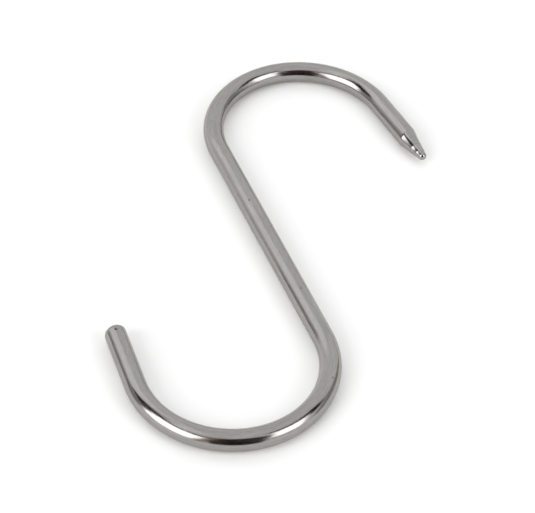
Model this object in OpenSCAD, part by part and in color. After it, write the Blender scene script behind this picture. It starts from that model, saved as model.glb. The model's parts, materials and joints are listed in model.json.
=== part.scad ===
// S hook bent from one round steel bar, lying flat.
// The bar's underside is at z = 0 and the straight shank runs along Y.
// The plain hook, with a blunt end, is at -Y; the pointed hook, with a ground point, is at +Y.

/* [Bar] */
// Diameter of the round bar
bar_d = 4; // [3:0.1:6]
// Straight length of the shank between the two bends
shank_l = 51.9; // [30:0.1:120]
// How much thinner the bar is in its bends, drawn by the bending
bend_draw = 0.02; // [0.01:0.005:0.06]

/* [Plain hook] */
// Inside radius of the plain hook's bend
plain_inner_r = 15.6; // [10:0.1:30]
// Angle that the plain hook's bend turns through
plain_sweep = 182.8; // [150:0.1:195]
// Straight length from the plain hook's bend to the middle of its end face
plain_tail_l = 13.65; // [6:0.05:18]
// Angle of the end face away from square; the bar is shorter on the hook's outer side
plain_cut = 4; // [0:0.5:8]
// Length of the rounding that runs from the bar's side to the end face
plain_edge_l = 1.3; // [1:0.05:2]
// Depth of that rounding at the end face
plain_edge_d = 0.8; // [0.4:0.05:1]
// Diameter of the small pit in the bar's top near the end
pit_d = 0.6; // [0.4:0.05:1]
// Depth of the pit
pit_depth = 0.2; // [0.1:0.05:0.4]
// Distance from the pit's centre to the end face
pit_inset = 1.6; // [1:0.05:4]

/* [Pointed hook] */
// Inside radius of the pointed hook's bend
point_inner_r = 15.6; // [10:0.1:30]
// Angle that the pointed hook's bend turns through
point_sweep = 173.7; // [150:0.1:195]
// Straight length from the pointed hook's bend to the shoulder of the point
point_tail_l = 11.05; // [4:0.05:16]

/* [Ground point] */
// Length of the point from its shoulder to its tip
point_l = 6.65; // [6.5:0.05:12]
// Diameter of the rounded nose
nose_d = 1.7; // [0.8:0.1:2.2]
// Length ground in the first pass, next to the shoulder
first_pass_l = 3.5; // [2:0.05:4]
// Length ground in the second pass
second_pass_l = 1.4; // [0.8:0.05:1.6]
// Radius of the wheel that ground the first pass slightly hollow
wheel_r = 30; // [20:1:80]
// Radius of the smaller wheel that ground the second and third passes
fine_wheel_r = 14; // [8:1:40]
// How far the point's axis lies off the bar's axis, towards the inside of the hook
point_offset = 0.12; // [0:0.01:0.3]

/* [Hidden] */
$fn = 96;

bar_r = bar_d / 2;
plain_r = plain_inner_r + bar_r;
point_r = point_inner_r + bar_r;
nose_r = nose_d / 2;

// The straights run this far into the bends, so that the bar is one solid.
lap = 0.05;

// How far a hook reaches sideways from the shank's axis, out to the bar's outer face.
// The bar is followed for a straight run past the end of the bend.
function reach(r, sweep, run) =
    sweep >= 180
        ? 2 * r + bar_r
        : r + (r + bar_r) * cos(180 - sweep) + run * sin(180 - sweep);

// The point's outline as [radius, distance from the shoulder].
pass_steps = 6;
nose_steps = 8;
nose_start = 15;
nose_z = point_l - nose_r;
taper_end = [nose_r * cos(nose_start), nose_z + nose_r * sin(nose_start)];
taper_slope = (bar_r - taper_end.x) / taper_end.y;
function on_taper(z) = [bar_r - taper_slope * z, z];

// One pass from p to q, hollowed by a wheel of radius r, without its last point.
function pass(p, q, r) = [
    for (i = [0 : pass_steps - 1])
        let (t = i / pass_steps, hollow = pow(q.y - p.y, 2) / (8 * r))
        p + t * (q - p) - [4 * hollow * t * (1 - t), 0]
];

// Beyond the shoulder the wheel's cone opens past the bar, so that an off-centre point still meets it.
run_out = bar_d;
wide_r = bar_r + taper_slope * run_out;
back_z = -point_tail_l - bar_d;
first_crease = on_taper(first_pass_l);
second_crease = on_taper(first_pass_l + second_pass_l);
point_outline = concat(
    [[0, back_z], [wide_r, back_z], [wide_r, -run_out]],
    pass(on_taper(0), first_crease, wheel_r),
    pass(first_crease, second_crease, fine_wheel_r),
    pass(second_crease, taper_end, fine_wheel_r),
    [
        for (i = [0 : nose_steps - 1])
            let (a = nose_start + (90 - nose_start) * i / nose_steps)
            [nose_r * cos(a), nose_z + nose_r * sin(a)]
    ],
    [[0, point_l]]
);

// The straight runs whose outer face lies on the bar, short of the rounded edge and the shoulder.
plain_run = plain_tail_l - plain_edge_l;
point_run = point_tail_l - point_offset / taper_slope;

// The origin is under the middle of the part's bounding box.
centre_x = (reach(point_r, point_sweep, point_run) - reach(plain_r, plain_sweep, plain_run)) / 2;
centre_y = (point_r - plain_r) / 2;

// Both hooks start at the shank's end, heading +Y, and curl towards +X.
module bend(r, sweep) {
    translate([r, 0, 0])
        rotate_extrude(angle = sweep, start = 180 - sweep)
            translate([r, 0])
                circle(d = bar_d - bend_draw);
}

// Places what follows a bend: +Z runs on along the bar, +X is outwards and +Y is up.
module after_bend(r, sweep) {
    translate([r, 0, 0])
        rotate([0, 0, 180 - sweep])
            translate([r, 0, 0])
                rotate([90, 0, 0])
                    children();
}

module shank() {
    rotate([90, 0, 0])
        cylinder(h = shank_l + 2 * lap, d = bar_d, center = true);
}

// Half the section of the rounded end, with its face at height 0 and the bar below it.
// Below the rounding it opens past the bar, so that a slanted end still meets the bar all round.
module plain_end_section() {
    edge_r = (pow(plain_edge_l, 2) + pow(plain_edge_d, 2)) / (2 * plain_edge_d);
    open_w = bar_r / 2;
    open_l = 2 * bar_r;
    foot = -plain_tail_l - bar_d;
    difference() {
        polygon([
            [0, foot],
            [bar_r + open_w, foot],
            [bar_r + open_w, -plain_edge_l - open_l],
            [bar_r, -plain_edge_l],
            [bar_r, 0],
            [0, 0]
        ]);
        translate([bar_r, -plain_edge_l])
            difference() {
                translate([-plain_edge_d, 0])
                    square([2 * plain_edge_d, 2 * plain_edge_l]);
                translate([-edge_r, 0])
                    circle(r = edge_r);
            }
    }
}

// Straight tail with a rounded end, cut at a slight slant.
module plain_tail() {
    intersection() {
        translate([0, 0, -lap])
            cylinder(h = plain_tail_l + lap + bar_r, d = bar_d);
        translate([0, 0, plain_tail_l])
            rotate([0, plain_cut, 0])
                rotate_extrude()
                    plain_end_section();
    }
}

// Round-bottomed pit in the top of the tail, cut by a ball of the size that gives its width and depth.
module pit() {
    ball_r = (pow(pit_d / 2, 2) + pow(pit_depth, 2)) / (2 * pit_depth);
    translate([0, bar_r - pit_depth + ball_r, plain_tail_l - pit_inset])
        sphere(r = ball_r);
}

// Straight tail ground to a point, a little off the bar's centre.
module pointed_tail() {
    intersection() {
        translate([0, 0, -lap])
            cylinder(h = point_tail_l + point_l + run_out, d = bar_d);
        translate([-point_offset, 0, point_tail_l])
            rotate_extrude()
                polygon(point_outline);
    }
}

module plain_hook() {
    bend(plain_r, plain_sweep);
    after_bend(plain_r, plain_sweep)
        difference() {
            plain_tail();
            pit();
        }
}

module pointed_hook() {
    bend(point_r, point_sweep);
    after_bend(point_r, point_sweep)
        pointed_tail();
}

// The whole hook is one bent bar.
module s_hook() {
    color([0.64, 0.63, 0.61])
        translate([-centre_x, -centre_y, bar_r]) {
            shank();
            translate([0, shank_l / 2, 0])
                pointed_hook();
            translate([0, -shank_l / 2, 0])
                rotate([0, 0, 180])
                    plain_hook();
        }
}

s_hook();
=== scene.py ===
"""An S hook of buffed stainless steel bar, lying on a pale floor in soft studio light.

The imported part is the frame. The bar's diameter and its two bends are read from it, and one smooth
mesh of the same form stands for its plain solid. Lengths are in millimetres, angles in degrees.
"""

from __future__ import annotations

import json
import logging
import math
from dataclasses import dataclass, field
from enum import Enum

import bpy
import numpy as np
from mathutils import Matrix, Vector

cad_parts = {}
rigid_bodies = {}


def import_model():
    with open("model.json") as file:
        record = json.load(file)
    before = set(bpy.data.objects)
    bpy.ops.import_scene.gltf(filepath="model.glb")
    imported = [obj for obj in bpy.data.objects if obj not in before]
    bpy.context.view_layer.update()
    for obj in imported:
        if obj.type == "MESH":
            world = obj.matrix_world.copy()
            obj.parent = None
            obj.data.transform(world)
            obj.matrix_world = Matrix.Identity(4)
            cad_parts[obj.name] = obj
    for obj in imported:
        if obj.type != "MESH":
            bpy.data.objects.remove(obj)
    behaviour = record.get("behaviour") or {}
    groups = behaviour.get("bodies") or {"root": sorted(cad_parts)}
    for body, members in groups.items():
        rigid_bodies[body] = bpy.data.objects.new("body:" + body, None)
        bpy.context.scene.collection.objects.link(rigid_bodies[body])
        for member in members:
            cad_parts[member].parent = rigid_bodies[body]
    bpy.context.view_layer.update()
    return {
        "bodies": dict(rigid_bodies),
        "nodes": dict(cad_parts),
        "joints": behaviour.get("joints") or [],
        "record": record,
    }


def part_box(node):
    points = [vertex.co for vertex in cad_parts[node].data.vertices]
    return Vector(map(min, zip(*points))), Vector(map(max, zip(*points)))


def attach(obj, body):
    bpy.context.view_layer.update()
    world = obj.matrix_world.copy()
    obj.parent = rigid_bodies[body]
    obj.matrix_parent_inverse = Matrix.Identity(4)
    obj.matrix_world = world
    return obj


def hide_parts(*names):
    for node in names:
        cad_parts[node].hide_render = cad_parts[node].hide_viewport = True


LOG = logging.getLogger("s_hook")
MM = 0.001
TINY = 1e-9
PHOTO_WIDTH_PX = 535
NODE = "s_hook"
BODY = "root"
BAR = "s_hook_bar"
PLACE = "bar_place"

Colour = tuple[float, float, float, float]


def linear(hex_code: str) -> Colour:
    """Turn an sRGB hex colour into the linear colour that a shader takes, by the sRGB standard's curve.

    Args:
        hex_code: Six hex digits after a hash sign.

    Returns:
        Linear red, green, blue and an alpha of 1.
    """
    channels = [int(hex_code[i : i + 2], 16) / 255 for i in (1, 3, 5)]
    red, green, blue = (c / 12.92 if c <= 0.04045 else ((c + 0.055) / 1.055) ** 2.4 for c in channels)
    return red, green, blue, 1.0


def add_node(
    tree: bpy.types.NodeTree,
    kind: str,
    inputs: dict[str | int, object] | None = None,
    **settings: object,
) -> bpy.types.Node:
    """Add one node to a tree, set it and link it.

    Args:
        tree: The node tree that takes the node.
        kind: The node's type in Blender.
        inputs: A constant, or another node's output to link, for each socket by name or number.
        settings: The node's own properties.

    Returns:
        The new node.
    """
    node = tree.nodes.new(kind)
    for name, value in settings.items():
        setattr(node, name, value)
    for socket, value in (inputs or {}).items():
        if isinstance(value, bpy.types.NodeSocket):
            tree.links.new(value, node.inputs[socket])
        else:
            node.inputs[socket].default_value = value
    return node


def empty_material(name: str) -> bpy.types.Material:
    """Make a material whose node tree is still empty.

    Args:
        name: The material's name.

    Returns:
        The material.
    """
    material = bpy.data.materials.new(name)
    material.use_nodes = True
    material.node_tree.nodes.clear()
    return material


def flat_sheet(name: str, width: float, height: float, cover: bpy.types.Material) -> bpy.types.Object:
    """Make a flat rectangle in the XY plane, about its own origin.

    Args:
        name: The sheet's name.
        width: Its length along X.
        height: Its length along Y.
        cover: Its material.

    Returns:
        The sheet.
    """
    half_w = width * MM / 2
    half_h = height * MM / 2
    mesh = bpy.data.meshes.new(name)
    mesh.from_pydata(
        [(-half_w, -half_h, 0), (half_w, -half_h, 0), (half_w, half_h, 0), (-half_w, half_h, 0)],
        [],
        [(0, 1, 2, 3)],
    )
    mesh.materials.append(cover)
    sheet = bpy.data.objects.new(name, mesh)
    bpy.context.scene.collection.objects.link(sheet)
    return sheet


class End(Enum):
    """The bar's two ends, by the name of the seat in the bend next to each."""

    PLAIN = "plain_seat"
    POINTED = "pointed_seat"


class Zone(Enum):
    """The bar's surfaces, by the material slot that dresses them."""

    DRAWN = 0
    GROUND = 1


@dataclass(frozen=True)
class Nick:
    """A small dark spot at a place on the unbent bar: sideways, up and along.
    On a nick the dark is dirt; in the pit near the blunt end it is painted shade in the hollow.

    The dark colour fills its core and thins out to its edge. Both are distances from its middle, as shares
    of its width.
    """

    place: tuple[float, float, float]
    width: float
    core: float = 0.25
    edge: float = 0.6


@dataclass(frozen=True)
class BuffedDrawnSteel:
    """Stainless steel bar, cold drawn and then buffed.

    The drawing die leaves lines along the bar and the buff takes off their tops, so the eye sees a
    mirror that is streaked lengthwise, with a few dark specks where dirt stays in nicks, and painted
    shade in the pit near the blunt end.
    """

    name: str = "stainless_steel_drawn_buffed"
    dark: str = "#979593"
    light: str = "#A3A19E"
    rim: str = "#ECEAE8"
    # The dark colour of dirt in the nicks, and of painted shade in the pit near the blunt end.
    dirt_and_pit_shade: str = "#2B2825"
    smooth: float = 0.11
    satin: float = 0.23
    # The real die lines are about 0.05 mm apart. They are drawn coarser, or no pixel would show them.
    line_across: float = 0.24
    line_along: float = 1.5
    band_across: float = 0.9
    band_along: float = 9.0
    line_height: float = 0.0008
    # The share of the broad bands in the streaks, and how finely lines and bands break up.
    band_share: float = 0.5
    detail: float = 3.0
    break_up: float = 0.6
    # The streak values between which the colour and the roughness run from one end to the other.
    colour_span: tuple[float, float] = (0.4, 0.6)
    roughness_span: tuple[float, float] = (0.35, 0.65)
    nicks: tuple[Nick, ...] = ()

    def dirt_and_pit_shade_share(
        self,
        tree: bpy.types.NodeTree,
        place: bpy.types.NodeSocket,
    ) -> bpy.types.NodeSocket | float:
        """Work out how much of the dark colour, dirt in the nicks and painted shade in the pit, covers
        each place.

        Args:
            tree: The material's node tree.
            place: Places on the unbent bar.

        Returns:
            1 in the middle of a nick or the pit, 0 away from all of them.
        """
        share: bpy.types.NodeSocket | float = 0.0
        for nick in self.nicks:
            away = add_node(tree, "ShaderNodeVectorMath", {0: place, 1: nick.place}, operation="DISTANCE")
            near = add_node(
                tree,
                "ShaderNodeMapRange",
                {
                    "Value": away.outputs["Value"],
                    "From Min": nick.width * nick.core,
                    "From Max": nick.width * nick.edge,
                    "To Min": 1.0,
                    "To Max": 0.0,
                },
                interpolation_type="SMOOTHSTEP",
            )
            both = add_node(
                tree,
                "ShaderNodeMath",
                {0: near.outputs["Result"], 1: share},
                operation="MAXIMUM",
            )
            share = both.outputs["Value"]
        return share

    def material(self) -> bpy.types.Material:
        """Make the material, which reads places on the unbent bar from the mesh.

        Returns:
            The material.
        """
        material = empty_material(self.name)
        tree = material.node_tree
        place = add_node(tree, "ShaderNodeAttribute", attribute_name=PLACE).outputs["Vector"]
        patterns = []
        for across, along in ((self.line_across, self.line_along), (self.band_across, self.band_along)):
            stretched = add_node(
                tree,
                "ShaderNodeVectorMath",
                {0: place, 1: (1 / across, 1 / across, 1 / along)},
                operation="MULTIPLY",
            )
            noise = add_node(
                tree,
                "ShaderNodeTexNoise",
                {
                    "Vector": stretched.outputs[0],
                    "Scale": 1.0,
                    "Detail": self.detail,
                    "Roughness": self.break_up,
                },
            )
            patterns.append(noise.outputs["Fac"])
        lines, bands = patterns
        streaks = add_node(
            tree,
            "ShaderNodeMix",
            {"Factor": self.band_share, "A": lines, "B": bands},
            data_type="FLOAT",
        ).outputs["Result"]
        ramp = add_node(tree, "ShaderNodeValToRGB", {"Fac": streaks})
        shades = zip(ramp.color_ramp.elements, self.colour_span, (self.dark, self.light))
        for element, position, shade in shades:
            element.position = position
            element.color = linear(shade)
        colour = ramp.outputs["Color"]
        # Dirt in the nicks, and painted shade in the pit near the blunt end, darken the colour here.
        if self.nicks:
            share = self.dirt_and_pit_shade_share(tree, place)
            mixed = {"Factor": share, "A": colour, "B": linear(self.dirt_and_pit_shade)}
            colour = add_node(tree, "ShaderNodeMix", mixed, data_type="RGBA").outputs["Result"]
        roughness = add_node(
            tree,
            "ShaderNodeMapRange",
            {
                "Value": streaks,
                "From Min": self.roughness_span[0],
                "From Max": self.roughness_span[1],
                "To Min": self.smooth,
                "To Max": self.satin,
            },
        )
        bump = add_node(
            tree,
            "ShaderNodeBump",
            {"Height": lines, "Strength": 1.0, "Distance": self.line_height * MM},
        )
        shader = add_node(
            tree,
            "ShaderNodeBsdfPrincipled",
            {
                "Base Color": colour,
                "Metallic": 1.0,
                "Roughness": roughness.outputs["Result"],
                "Specular Tint": linear(self.rim),
                "Normal": bump.outputs["Normal"],
            },
        )
        add_node(tree, "ShaderNodeOutputMaterial", {"Surface": shader.outputs["BSDF"]})
        return material


@dataclass(frozen=True)
class GroundBuffedSteel(BuffedDrawnSteel):
    """The same bar where a wheel ground it to a point and the buff followed.

    The wheel's lines run round the point, so the eye sees a mirror with fine rings.
    """

    name: str = "stainless_steel_ground_buffed"
    smooth: float = 0.1
    satin: float = 0.2
    # The real grinding lines are about 0.03 mm apart. They are drawn coarser, or no pixel would show them.
    line_across: float = 3.0
    line_along: float = 0.2
    band_across: float = 1.6
    band_along: float = 0.9
    line_height: float = 0.0004


@dataclass(frozen=True)
class WhiteCard:
    """White card with an uncoated, matt face: it shows soft shadows and mirrors nothing.

    A faint glow makes up its last bit of white. Only the camera and the steel see it, and it lights
    nothing.
    """

    name: str = "white_card_uncoated"
    colour: str = "#FAFAFA"
    grey: str = "#F8F8F8"
    matt: float = 0.7
    gloss: float = 0.2
    mottle: float = 30.0
    detail: float = 2.0
    glow: float = 0.065

    def material(self) -> bpy.types.Material:
        """Make the material.

        Returns:
            The material.
        """
        material = empty_material(self.name)
        tree = material.node_tree
        place = add_node(tree, "ShaderNodeTexCoord").outputs["Object"]
        noise = add_node(
            tree,
            "ShaderNodeTexNoise",
            {"Vector": place, "Scale": 1 / (self.mottle * MM), "Detail": self.detail},
        )
        ramp = add_node(tree, "ShaderNodeValToRGB", {"Fac": noise.outputs["Fac"]})
        for element, shade in zip(ramp.color_ramp.elements, (self.grey, self.colour)):
            element.color = linear(shade)
        ray = add_node(tree, "ShaderNodeLightPath")
        looked_at = ray.outputs["Is Camera Ray"]
        for kind in ("Is Glossy Ray", "Is Transmission Ray"):
            either = add_node(
                tree,
                "ShaderNodeMath",
                {0: looked_at, 1: ray.outputs[kind]},
                operation="MAXIMUM",
            )
            looked_at = either.outputs["Value"]
        glow = add_node(tree, "ShaderNodeMath", {0: looked_at, 1: self.glow}, operation="MULTIPLY")
        shader = add_node(
            tree,
            "ShaderNodeBsdfPrincipled",
            {
                "Base Color": ramp.outputs["Color"],
                "Roughness": self.matt,
                "Specular IOR Level": self.gloss,
                "Emission Color": linear(self.colour),
                "Emission Strength": glow.outputs["Value"],
            },
        )
        add_node(tree, "ShaderNodeOutputMaterial", {"Surface": shader.outputs["BSDF"]})
        return material


class Facing(Enum):
    """What covers a card in the studio, by its colour."""

    BLACK_VELVET = "#0C0A0A"
    BROWN_FELT = "#33241F"
    KRAFT_BOARD = "#B0958A"
    GREY_PAPER = "#B2B1AF"


@dataclass(frozen=True)
class CardFacing:
    """Velvet, felt, board or paper on the cards beside the lamps.

    All of them are matt, so a card shows in the steel as one even tone.
    """

    facing: Facing

    def material(self) -> bpy.types.Material:
        """Make the material.

        Returns:
            The material.
        """
        material = empty_material(self.facing.name.lower())
        tree = material.node_tree
        shader = add_node(tree, "ShaderNodeBsdfDiffuse", {"Color": linear(self.facing.value)})
        add_node(tree, "ShaderNodeOutputMaterial", {"Surface": shader.outputs["BSDF"]})
        return material


@dataclass(frozen=True)
class Bend:
    """One hook's bend in plan: its centre, its radius on the bar's axis and the angle it turns through."""

    centre: Vector
    radius: float
    sweep: float

    @property
    def run(self) -> float:
        """Length of the bar's axis in the bend."""
        return self.radius * math.radians(self.sweep)


@dataclass
class BluntEnd:
    """The plain hook's straight tail, with a small pit in its top.

    Its end is cut at a slight slant and rounded.
    """

    tail_l: float = 13.65
    cut: float = 4.0
    edge_l: float = 1.3
    edge_d: float = 0.8
    pit_d: float = 0.6
    pit_depth: float = 0.2
    pit_inset: float = 1.6
    # How far from the pit's middle the rings still lie close together, as a share of its diameter.
    pit_margin: float = 0.75
    face_rings: int = 5
    edge_rings: int = 24

    @property
    def pit_end(self) -> float:
        """Distance from the end face to where the pit no longer needs close rings."""
        return self.pit_inset + self.pit_margin * self.pit_d

    def outline(self, bar_r: float) -> tuple[np.ndarray, np.ndarray]:
        """Lay out the rings of the end face and its rounded edge.

        Args:
            bar_r: The bar's radius.

        Returns:
            Distance from the end face and radius of each ring, from the middle of the face outwards.
        """
        edge_r = (self.edge_l**2 + self.edge_d**2) / (2 * self.edge_d)
        face = np.linspace(0, bar_r - self.edge_d, self.face_rings + 1)[1:]
        turn = np.linspace(math.asin(self.edge_l / edge_r), 0, self.edge_rings + 1)[1:]
        along = np.concatenate([np.zeros_like(face), self.edge_l - edge_r * np.sin(turn)])
        radius = np.concatenate([face, bar_r - edge_r * (1 - np.cos(turn))])
        return along, radius

    def slant(self, place: np.ndarray) -> None:
        """Shift the points near the end along the bar, so that its face is cut at a slant.

        The shift is whole on the rounded edge and fades out over the same length beyond it.

        Args:
            place: Points on the unbent bar, sideways, up and along, changed in place.
        """
        share = np.clip(2 - place[..., 2] / self.edge_l, 0, 1)
        place[..., 2] -= share * math.tan(math.radians(self.cut)) * place[..., 0]

    def press_pit(self, place: np.ndarray, bar_r: float) -> None:
        """Lower the points within the pit to the ball that formed it.

        Args:
            place: Points on the unbent bar, sideways, up and along, changed in place.
            bar_r: The bar's radius.
        """
        ball_r = ((self.pit_d / 2) ** 2 + self.pit_depth**2) / (2 * self.pit_depth)
        ball_up = bar_r - self.pit_depth + ball_r
        flat = place[..., 0] ** 2 + (place[..., 2] - self.pit_inset) ** 2
        inside = (flat < ball_r**2) & (place[..., 1] > 0)
        floor = ball_up - np.sqrt(np.maximum(ball_r**2 - flat, 0))
        place[..., 1] = np.where(inside, np.minimum(place[..., 1], floor), place[..., 1])


@dataclass
class GroundPoint:
    """The pointed hook's straight tail, ground in three passes a little off the bar's centre."""

    tail_l: float = 11.05
    point_l: float = 6.65
    nose_d: float = 1.7
    first_pass_l: float = 3.5
    second_pass_l: float = 1.4
    wheel_r: float = 30.0
    fine_wheel_r: float = 14.0
    offset: float = 0.12
    nose_start: float = 15.0
    pass_rings: int = 28
    nose_rings: int = 14

    def outline(self, bar_r: float) -> tuple[np.ndarray, np.ndarray]:
        """Work out the ground outline about the point's own axis.

        Args:
            bar_r: The bar's radius.

        Returns:
            Distance past the shoulder and radius, from in front of the shoulder to the tip.
        """
        nose_r = self.nose_d / 2
        nose_z = self.point_l - nose_r
        start = math.radians(self.nose_start)
        end_r = nose_r * math.cos(start)
        end_z = nose_z + nose_r * math.sin(start)
        slope = (bar_r - end_r) / end_z
        second_z = self.first_pass_l + self.second_pass_l
        along = [np.array([-bar_r])]
        radius = [bar_r - slope * along[0]]
        passes = (
            (0.0, self.first_pass_l, self.wheel_r),
            (self.first_pass_l, second_z, self.fine_wheel_r),
            (second_z, end_z, self.fine_wheel_r),
        )
        for low, high, wheel_r in passes:
            z = np.linspace(low, high, self.pass_rings, endpoint=False)
            along.append(z)
            radius.append(bar_r - slope * z - (z - low) * (high - z) / (2 * wheel_r))
        turn = np.linspace(start, math.pi / 2, self.nose_rings, endpoint=False)
        along.append(nose_z + nose_r * np.sin(turn))
        radius.append(nose_r * np.cos(turn))
        return np.concatenate(along), np.concatenate(radius)

    def rings(self, bar_r: float, phi: np.ndarray) -> tuple[np.ndarray, np.ndarray]:
        """Lay out the rings of the point, the first of them on its slanted shoulder.

        Args:
            bar_r: The bar's radius.
            phi: Angles about the bar, from its outward side.

        Returns:
            Distance past the shoulder and distance from the bar's axis, for each ring and angle.
        """
        outline_z, outline_r = self.outline(bar_r)
        shoulder_r = np.sqrt(bar_r**2 + self.offset**2 + 2 * bar_r * self.offset * np.cos(phi))
        shoulder_z = np.interp(-shoulder_r, -outline_r, outline_z)
        t = np.linspace(0, 1, self.pass_rings, endpoint=False)[:, None]
        first = shoulder_z * (1 - t) + self.first_pass_l * t
        later = outline_z[outline_z >= self.first_pass_l - TINY]
        along = np.concatenate([first, np.repeat(later[:, None], len(phi), axis=1)])
        own_r = np.interp(along, outline_z, outline_r)
        across = np.sqrt(np.maximum(own_r**2 - (self.offset * np.sin(phi)) ** 2, 0))
        radius = across - self.offset * np.cos(phi)
        return along, radius


@dataclass
class SHook:
    """The hook: one round bar bent into two hooks in one plane."""

    bar_d: float
    plain_bend: Bend
    pointed_bend: Bend
    blunt_end: BluntEnd = field(default_factory=BluntEnd)
    point: GroundPoint = field(default_factory=GroundPoint)
    around: int = 192
    # Distances between rings: at the pit, in the bends and tails, on the shank and before the shoulder.
    fine_gap: float = 0.045
    ring_gap: float = 0.6
    shank_gap: float = 1.2
    shoulder_gap: float = 0.3
    shoulder_run: float = 3.0
    nicks: tuple[Nick, ...] = (
        Nick((0.36, 1.97, 105.05), 0.35),
        Nick((-0.12, 2.0, 80.5), 0.3),
        Nick((1.59, 1.22, 107.75), 0.25),
        Nick((-0.81, 1.83, 58.65), 0.3),
    )

    @classmethod
    def from_frame(cls, frame: dict, plain_sweep: float = 182.8, pointed_sweep: float = 173.7) -> SHook:
        """Take the bar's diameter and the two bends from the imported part.

        Args:
            plain_sweep: Angle of the plain hook's bend.
            pointed_sweep: Angle of the pointed hook's bend.

        Returns:
            The hook with its sizes.
        """
        low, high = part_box(NODE)
        bar_d = round((high.z - low.z) / MM, 2)
        mounts = {mount["name"]: mount for mount in frame["record"]["mounts"]}
        bends = {}
        for end, sweep in ((End.PLAIN, plain_sweep), (End.POINTED, pointed_sweep)):
            seat = mounts[end.value]
            inner_r = seat["dims"]["r_mm"]
            centre = Vector(seat["pos_m"]) / MM + inner_r * Vector(seat["axis"])
            bends[end] = Bend(centre, inner_r + bar_d / 2, sweep)
        return cls(bar_d, bends[End.PLAIN], bends[End.POINTED])

    @property
    def bar_r(self) -> float:
        """The bar's radius."""
        return self.bar_d / 2

    @property
    def shank_l(self) -> float:
        """Straight length between the two bends."""
        return self.pointed_bend.centre.y - self.plain_bend.centre.y

    @property
    def shank_start(self) -> float:
        """Distance along the bar from its blunt end to the shank."""
        return self.blunt_end.tail_l + self.plain_bend.run

    @property
    def shank_end(self) -> float:
        """Distance along the bar from its blunt end to the pointed hook's bend."""
        return self.shank_start + self.shank_l

    @property
    def shoulder(self) -> float:
        """Distance along the bar from its blunt end to the point's shoulder."""
        return self.shank_end + self.pointed_bend.run + self.point.tail_l

    def bent(self, place: np.ndarray) -> np.ndarray:
        """Bend the straight bar into the hook.

        Args:
            place: Points on the unbent bar, sideways, up and along.

        Returns:
            The same points on the hook, in the part's frame.
        """
        along = place[..., 2]
        shank_x = self.plain_bend.centre.x + self.plain_bend.radius
        pointed = along > self.shank_start + self.shank_l / 2
        run = np.where(pointed, along - self.shank_start - self.shank_l, self.shank_start - along)
        bend_r = np.where(pointed, self.pointed_bend.radius, self.plain_bend.radius)
        sweep = np.radians(np.where(pointed, self.pointed_bend.sweep, self.plain_bend.sweep))
        side = np.where(pointed, 1.0, -1.0)
        start_y = np.where(pointed, self.pointed_bend.centre.y, self.plain_bend.centre.y)
        turn = np.clip(run / bend_r, 0, sweep)
        straight = run - bend_r * turn
        axis_x = shank_x + side * (bend_r * (1 - np.cos(turn)) + straight * np.sin(turn))
        axis_y = start_y + side * (bend_r * np.sin(turn) + straight * np.cos(turn))
        x = axis_x - place[..., 0] * np.cos(turn)
        y = axis_y + place[..., 0] * np.sin(turn)
        return np.stack([x, y, place[..., 1] + self.bar_r], axis=-1)

    def stations(self) -> np.ndarray:
        """Choose where rings lie along the bar, between the end face's edge and the point's shoulder.

        Returns:
            Distance of each ring from the blunt end. The edge's own last ring isn't among them.
        """
        end = self.blunt_end
        shoulder_start = self.shoulder - self.shoulder_run
        stretches = (
            (end.edge_l, end.pit_end, self.fine_gap),
            (end.pit_end, self.shank_start, self.ring_gap),
            (self.shank_start, self.shank_end, self.shank_gap),
            (self.shank_end, shoulder_start, self.ring_gap),
            (shoulder_start, self.shoulder, self.shoulder_gap),
        )
        parts = [
            np.linspace(low, high, round((high - low) / gap), endpoint=False)
            for low, high, gap in stretches
        ]
        return np.concatenate(parts)[1:]

    def rings(self) -> tuple[np.ndarray, int]:
        """Lay out every ring of the unbent bar.

        Returns:
            Points on the unbent bar, for each ring and angle, and the number of the shoulder's ring.
        """
        phi = np.linspace(0, 2 * math.pi, self.around, endpoint=False)
        even = np.ones_like(phi)
        end_s, end_r = self.blunt_end.outline(self.bar_r)
        middle_s = self.stations()
        middle_r = np.full((len(middle_s), self.around), self.bar_r)
        point_s, point_r = self.point.rings(self.bar_r, phi)
        slant = np.clip((middle_s - self.shoulder + self.shoulder_run) / self.shoulder_run, 0, 1)
        along = np.concatenate(
            [
                end_s[:, None] * even,
                middle_s[:, None] + slant[:, None] * point_s[0],
                self.shoulder + point_s,
            ]
        )
        radius = np.concatenate([end_r[:, None] * even, middle_r, point_r])
        place = np.stack([radius * np.cos(phi), radius * np.sin(phi), along], axis=-1)
        self.blunt_end.slant(place)
        self.blunt_end.press_pit(place, self.bar_r)
        return place, len(end_s) + len(middle_s)

    def faces(self, rings: int, shoulder_ring: int) -> tuple[list[list[int]], np.ndarray]:
        """Join the rings by faces and close the bar at both ends.

        The points after the last ring are the middle of the end face and the tip.

        Args:
            rings: How many rings there are.
            shoulder_ring: The number of the shoulder's ring.

        Returns:
            The points of each face, and each face's material slot.
        """
        around = self.around
        ring, angle = np.meshgrid(np.arange(rings - 1), np.arange(around), indexing="ij")
        here = ring * around + angle
        aside = ring * around + (angle + 1) % around
        quads = np.stack([here, aside, aside + around, here + around], axis=-1).reshape(-1, 4)
        step = np.arange(around)
        following = (step + 1) % around
        last = (rings - 1) * around
        face_middle = rings * around
        tip = face_middle + 1
        face_fan = np.stack([np.full(around, face_middle), following, step], axis=-1)
        tip_fan = np.stack([np.full(around, tip), last + step, last + following], axis=-1)
        before_shoulder = np.arange(rings - 1) < shoulder_ring
        slots = np.concatenate(
            [
                np.repeat(np.where(before_shoulder, Zone.DRAWN.value, Zone.GROUND.value), around),
                np.full(around, Zone.DRAWN.value),
                np.full(around, Zone.GROUND.value),
            ]
        )
        return quads.tolist() + face_fan.tolist() + tip_fan.tolist(), slots

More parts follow.
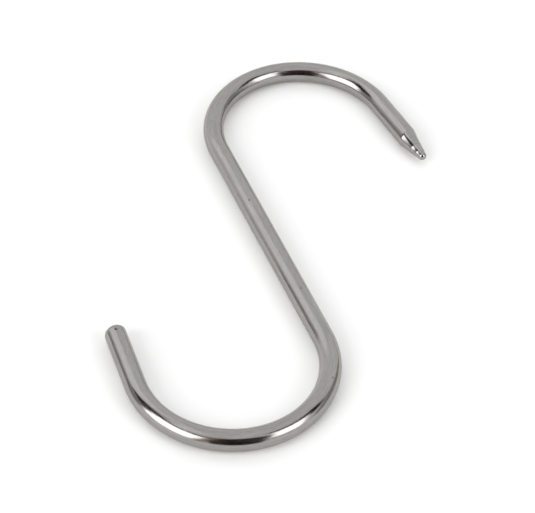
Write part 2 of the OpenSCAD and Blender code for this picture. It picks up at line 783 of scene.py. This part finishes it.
    def build(self) -> bpy.types.Object:
        """Make the hook's mesh, with each point's place on the unbent bar kept beside it.

        Returns:
            The hook, in the part's frame.
        """
        place, shoulder_ring = self.rings()
        tip = self.shoulder + self.point.point_l
        ends = np.array([[0.0, 0.0, 0.0], [-self.point.offset, 0.0, tip]])
        flat = np.concatenate([place.reshape(-1, 3), ends])
        faces, slots = self.faces(len(place), shoulder_ring)
        mesh = bpy.data.meshes.new(BAR)
        mesh.from_pydata((self.bent(flat) * MM).tolist(), [], faces)
        kept = mesh.attributes.new(PLACE, "FLOAT_VECTOR", "POINT")
        kept.data.foreach_set("vector", flat.astype(np.float32).ravel())
        mesh.polygons.foreach_set("material_index", slots.astype(np.int32))
        mesh.shade_smooth()
        mesh.validate()
        hook = bpy.data.objects.new(BAR, mesh)
        bpy.context.scene.collection.objects.link(hook)
        return hook

    def dress(self, hook: bpy.types.Object) -> None:
        """Give the hook its finishes and its place in the part.

        Args:
            hook: The hook's mesh object.
        """
        # The pit's dark colour is painted shade in its hollow.
        pit = Nick((0.0, self.bar_r, self.blunt_end.pit_inset), self.blunt_end.pit_d)
        drawn = BuffedDrawnSteel(nicks=(pit, *self.nicks))
        finishes = {Zone.DRAWN: drawn, Zone.GROUND: GroundBuffedSteel()}
        for zone in Zone:
            hook.data.materials.append(finishes[zone].material())
        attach(hook, BODY)
        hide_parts(NODE)


@dataclass(frozen=True)
class Aim:
    """A place in the studio, seen from the middle of the hook: azimuth 0 is along +Y and 90 along +X."""

    azimuth: float
    elevation: float
    distance: float

    def direction(self) -> Vector:
        """Work out which way the place lies.

        Returns:
            Unit vector from the hook.
        """
        around = math.radians(self.azimuth)
        lift = math.radians(self.elevation)
        level = math.cos(lift)
        return Vector((math.sin(around) * level, math.cos(around) * level, math.sin(lift)))

    def facing(self, turn: float = 0.0) -> Matrix:
        """Place something there so that its -Z side faces the hook.

        Args:
            turn: Turn about the line of sight.

        Returns:
            The matrix for the object.
        """
        toward = self.direction()
        spin = Matrix.Rotation(math.radians(turn), 4, "Z")
        faced = toward.to_track_quat("Z", "Y").to_matrix().to_4x4()
        return Matrix.Translation(toward * self.distance * MM) @ faced @ spin


def studio_card(name: str, width: float, height: float, cover: bpy.types.Material) -> bpy.types.Object:
    """Make a flat card that only the steel and the light see.

    Args:
        name: The card's name.
        width: Its width.
        height: Its height.
        cover: The material of its facing.

    Returns:
        The card.
    """
    card = flat_sheet(name, width, height, cover)
    card.visible_camera = False
    return card


@dataclass(frozen=True)
class Softbox:
    """A lamp behind a white diffuser, with a black lip along its top where it has one.

    Its glow is how much brighter its face is than the room behind it, with 1 as white.
    """

    name: str
    aim: Aim
    width: float
    height: float
    glow: float
    turn: float = 0.0
    lip: float = 0.0

    def build(self, cover: bpy.types.Material) -> bpy.types.Object:
        """Make the lamp and its lip.

        Args:
            cover: The material of the lip.

        Returns:
            The lamp.
        """
        lamp = bpy.data.lights.new(self.name, "AREA")
        lamp.shape = "RECTANGLE"
        lamp.size = self.width * MM
        lamp.size_y = self.height * MM
        lamp.energy = self.glow * math.pi * lamp.size * lamp.size_y
        softbox = bpy.data.objects.new(self.name, lamp)
        softbox.matrix_world = self.aim.facing(self.turn)
        softbox.visible_camera = False
        bpy.context.scene.collection.objects.link(softbox)
        if self.lip:
            lip = studio_card(f"{self.name}_lip", self.width, self.lip, cover)
            above = Matrix.Translation((0, (self.height + self.lip) * MM / 2, 0))
            lip.matrix_world = softbox.matrix_world @ above
        return softbox


@dataclass(frozen=True)
class Flag:
    """A card that keeps light off one side and shows in the steel as a stripe of its own tone."""

    name: str
    aim: Aim
    width: float
    height: float
    turn: float
    facing: Facing = Facing.BLACK_VELVET

    def build(self, cover: bpy.types.Material) -> bpy.types.Object:
        """Make the card.

        Args:
            cover: The material of its facing.

        Returns:
            The card.
        """
        card = studio_card(self.name, self.width, self.height, cover)
        card.matrix_world = self.aim.facing(self.turn)
        return card


@dataclass
class Studio:
    """The pale floor, the lamps, the flags and the light of the room.

    Each lamp and flag stands where the bar mirrors it towards the camera.
    """

    floor_size: float = 6000.0
    room: str = "#FFFFFF"
    room_strength: float = 0.97
    softboxes: tuple[Softbox, ...] = (
        Softbox("softbox_left", Aim(-101.5, 30, 3300), 2980, 2640, glow=2.5, lip=500),
        Softbox("softbox_right", Aim(144.5, 35.2, 893), 432, 612, glow=2.5, turn=-20, lip=230),
        Softbox("softbox_far", Aim(-44, 56, 4000), 3680, 3234, glow=0.36, turn=26),
    )
    flags: tuple[Flag, ...] = (
        Flag("flag_camera_side", Aim(-166.5, 31, 1100), 1000, 1320, turn=-8, facing=Facing.BROWN_FELT),
        Flag("board_camera_side", Aim(-135.3, 31, 1090), 140, 1320, turn=-8, facing=Facing.KRAFT_BOARD),
        Flag("flag_left", Aim(-67.3, 43, 2000), 545, 1377, turn=4),
        Flag("flag_far_left", Aim(-62, 45.5, 809), 245, 489, turn=-12),
        Flag("flag_far_right", Aim(109, 46, 680), 195, 339, turn=-5),
        Flag("flag_low_left", Aim(-63, 15, 400), 195, 165, turn=-12, facing=Facing.GREY_PAPER),
        Flag("flag_low_right", Aim(97, 5, 1780), 1440, 1610, turn=35, facing=Facing.GREY_PAPER),
        Flag("boom_left", Aim(-40, 62, 2200), 290, 800, turn=34, facing=Facing.GREY_PAPER),
    )

    def build_floor(self) -> None:
        """Make the floor that the hook lies on."""
        floor = flat_sheet("floor", self.floor_size, self.floor_size, WhiteCard().material())
        LOG.info("floor: white card, %.0f mm square", self.floor_size)

    def build_room(self) -> None:
        """Make the even light of the room."""
        world = bpy.data.worlds.new("room")
        world.use_nodes = True
        tree = world.node_tree
        tree.nodes.clear()
        light = {"Color": linear(self.room), "Strength": self.room_strength}
        background = add_node(tree, "ShaderNodeBackground", light)
        add_node(tree, "ShaderNodeOutputWorld", {"Surface": background.outputs["Background"]})
        bpy.context.scene.world = world

    def build(self) -> None:
        """Make everything that isn't the hook, apart from the camera."""
        self.build_floor()
        covers = {facing: CardFacing(facing).material() for facing in Facing}
        for softbox in self.softboxes:
            softbox.build(covers[Facing.BLACK_VELVET])
            LOG.info("%s: %.0f x %.0f mm", softbox.name, softbox.width, softbox.height)
        for flag in self.flags:
            flag.build(covers[flag.facing])
            LOG.info("%s: %.0f x %.0f mm", flag.name, flag.width, flag.height)
        self.build_room()


@dataclass(frozen=True)
class PhotoCamera:
    """The camera where the photograph was taken from, worked out from the bar's outline.

    With an azimuth of 0 it looks along +Y, and a positive one moves it towards +X.
    """

    target: tuple[float, float, float] = (-1.59, -2.208, 0.0)
    azimuth: float = -23.757
    elevation: float = 45.927
    roll: float = 2.675
    distance: float = 377.8
    focal_px: float = 2018.6
    sensor: float = 36.0

    def build(self) -> bpy.types.Object:
        """Make the camera and look through it.

        Returns:
            The camera.
        """
        turn = math.radians(self.azimuth)
        tilt = math.radians(self.elevation)
        back = Vector((math.sin(turn) * math.cos(tilt), -math.cos(turn) * math.cos(tilt), math.sin(tilt)))
        right = Vector((0, 0, 1)).cross(back).normalized()
        up = back.cross(right)
        level = Matrix((right, up, back)).transposed().to_4x4()
        roll = Matrix.Rotation(math.radians(self.roll), 4, "Z")
        place = (Vector(self.target) + back * self.distance) * MM
        lens = bpy.data.cameras.new("photo_camera")
        lens.sensor_width = self.sensor
        lens.lens = self.focal_px / PHOTO_WIDTH_PX * self.sensor
        camera = bpy.data.objects.new("photo_camera", lens)
        camera.matrix_world = Matrix.Translation(place) @ level @ roll
        bpy.context.scene.collection.objects.link(camera)
        bpy.context.scene.camera = camera
        return camera


def main() -> None:
    """Set up the camera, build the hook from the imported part, then build the studio."""
    logging.basicConfig(level=logging.INFO, format="%(name)s: %(message)s")
    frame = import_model()
    bpy.context.scene.view_settings.view_transform = "Standard"
    camera = PhotoCamera().build()
    LOG.info("%s: lens %.1f mm", camera.name, camera.data.lens)
    hook = SHook.from_frame(frame)
    bar = hook.build()
    hook.dress(bar)
    LOG.info("%s: %d faces", bar.name, len(bar.data.polygons))
    Studio().build()


if __name__ == "__main__":
    main()
